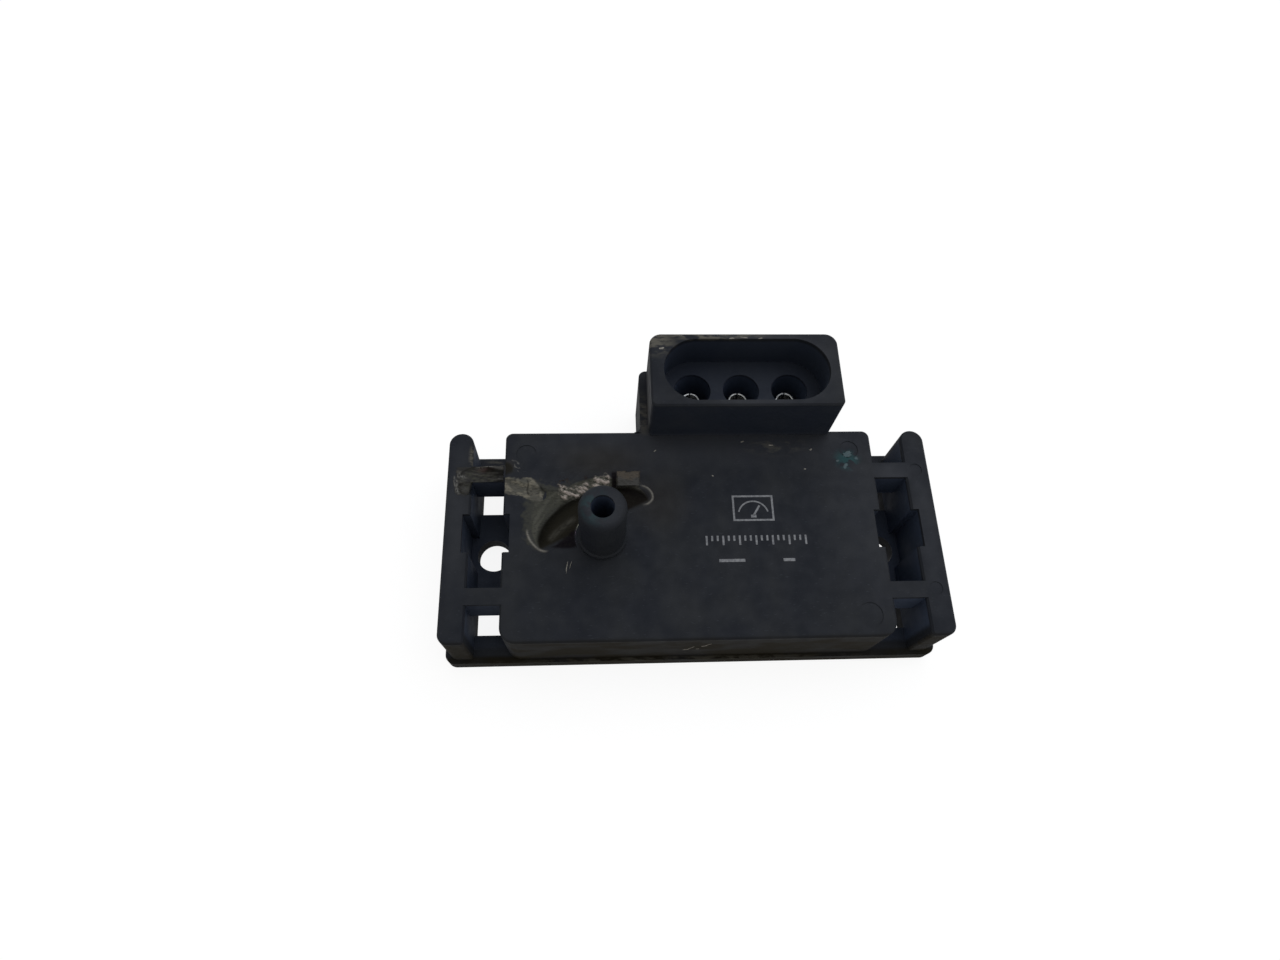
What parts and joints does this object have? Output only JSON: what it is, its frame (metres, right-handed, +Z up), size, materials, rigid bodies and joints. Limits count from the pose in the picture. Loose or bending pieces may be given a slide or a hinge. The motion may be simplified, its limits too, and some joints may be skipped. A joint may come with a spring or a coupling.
{
  "type": "manifold pressure sensor",
  "caption": "Black moulded intake manifold pressure sensor with a hose nipple, an upright oval connector and screw ears; its top is scarred by heat.",
  "frame": {"origin": "middle between the two screw holes, on the underside plane", "axes": "+X along the length with the nipple on the -X half, +Y to the connector's side, +Z up along the screw holes, the nipple and the connector's pins"},
  "size_m": [0.082, 0.049, 0.0281],
  "materials": {
    "moulded_pbt": "moulded, satin",
    "silicone_sealant": "cured, matte",
    "tinned_brass": "tin-plated",
    "alumina": "fired, matte",
    "cell_glass": "ground",
    "silicon": "polished",
    "tinned_steel": "drawn, tinned",
    "bond_metal": "drawn wire",
    "chip_resin": "moulded",
    "capacitor_ceramic": "fired",
    "resistor_print": "printed and fired"
  },
  "bodies": {
    "root": {"housing": "moulded_pbt", "base_cover": "moulded_pbt", "cover_seal_bead": "silicone_sealant", "circuit_substrate": "alumina", "port_seal_ring": "silicone_sealant", "glass_pedestal": "cell_glass", "sensing_die": "silicon", "vacuum_cap": "silicon", "cell_cover": "tinned_steel", "die_wires": "bond_metal", "amplifier_chip": "chip_resin", "terminal_supply": "tinned_brass", "terminal_signal": "tinned_brass", "terminal_ground": "tinned_brass", "terminal_wire_1": "bond_metal", "terminal_wire_2": "bond_metal", "terminal_wire_3": "bond_metal", "substrate_bond_1": "silicone_sealant", "substrate_bond_2": "silicone_sealant", "substrate_bond_3": "silicone_sealant", "substrate_bond_4": "silicone_sealant", "chip_capacitor_1": "capacitor_ceramic", "chip_capacitor_2": "capacitor_ceramic", "chip_capacitor_3": "capacitor_ceramic", "trim_resistor_1": "resistor_print", "trim_resistor_2": "resistor_print", "trim_resistor_3": "resistor_print", "trim_resistor_4": "resistor_print"}
  },
  "joints": []
}
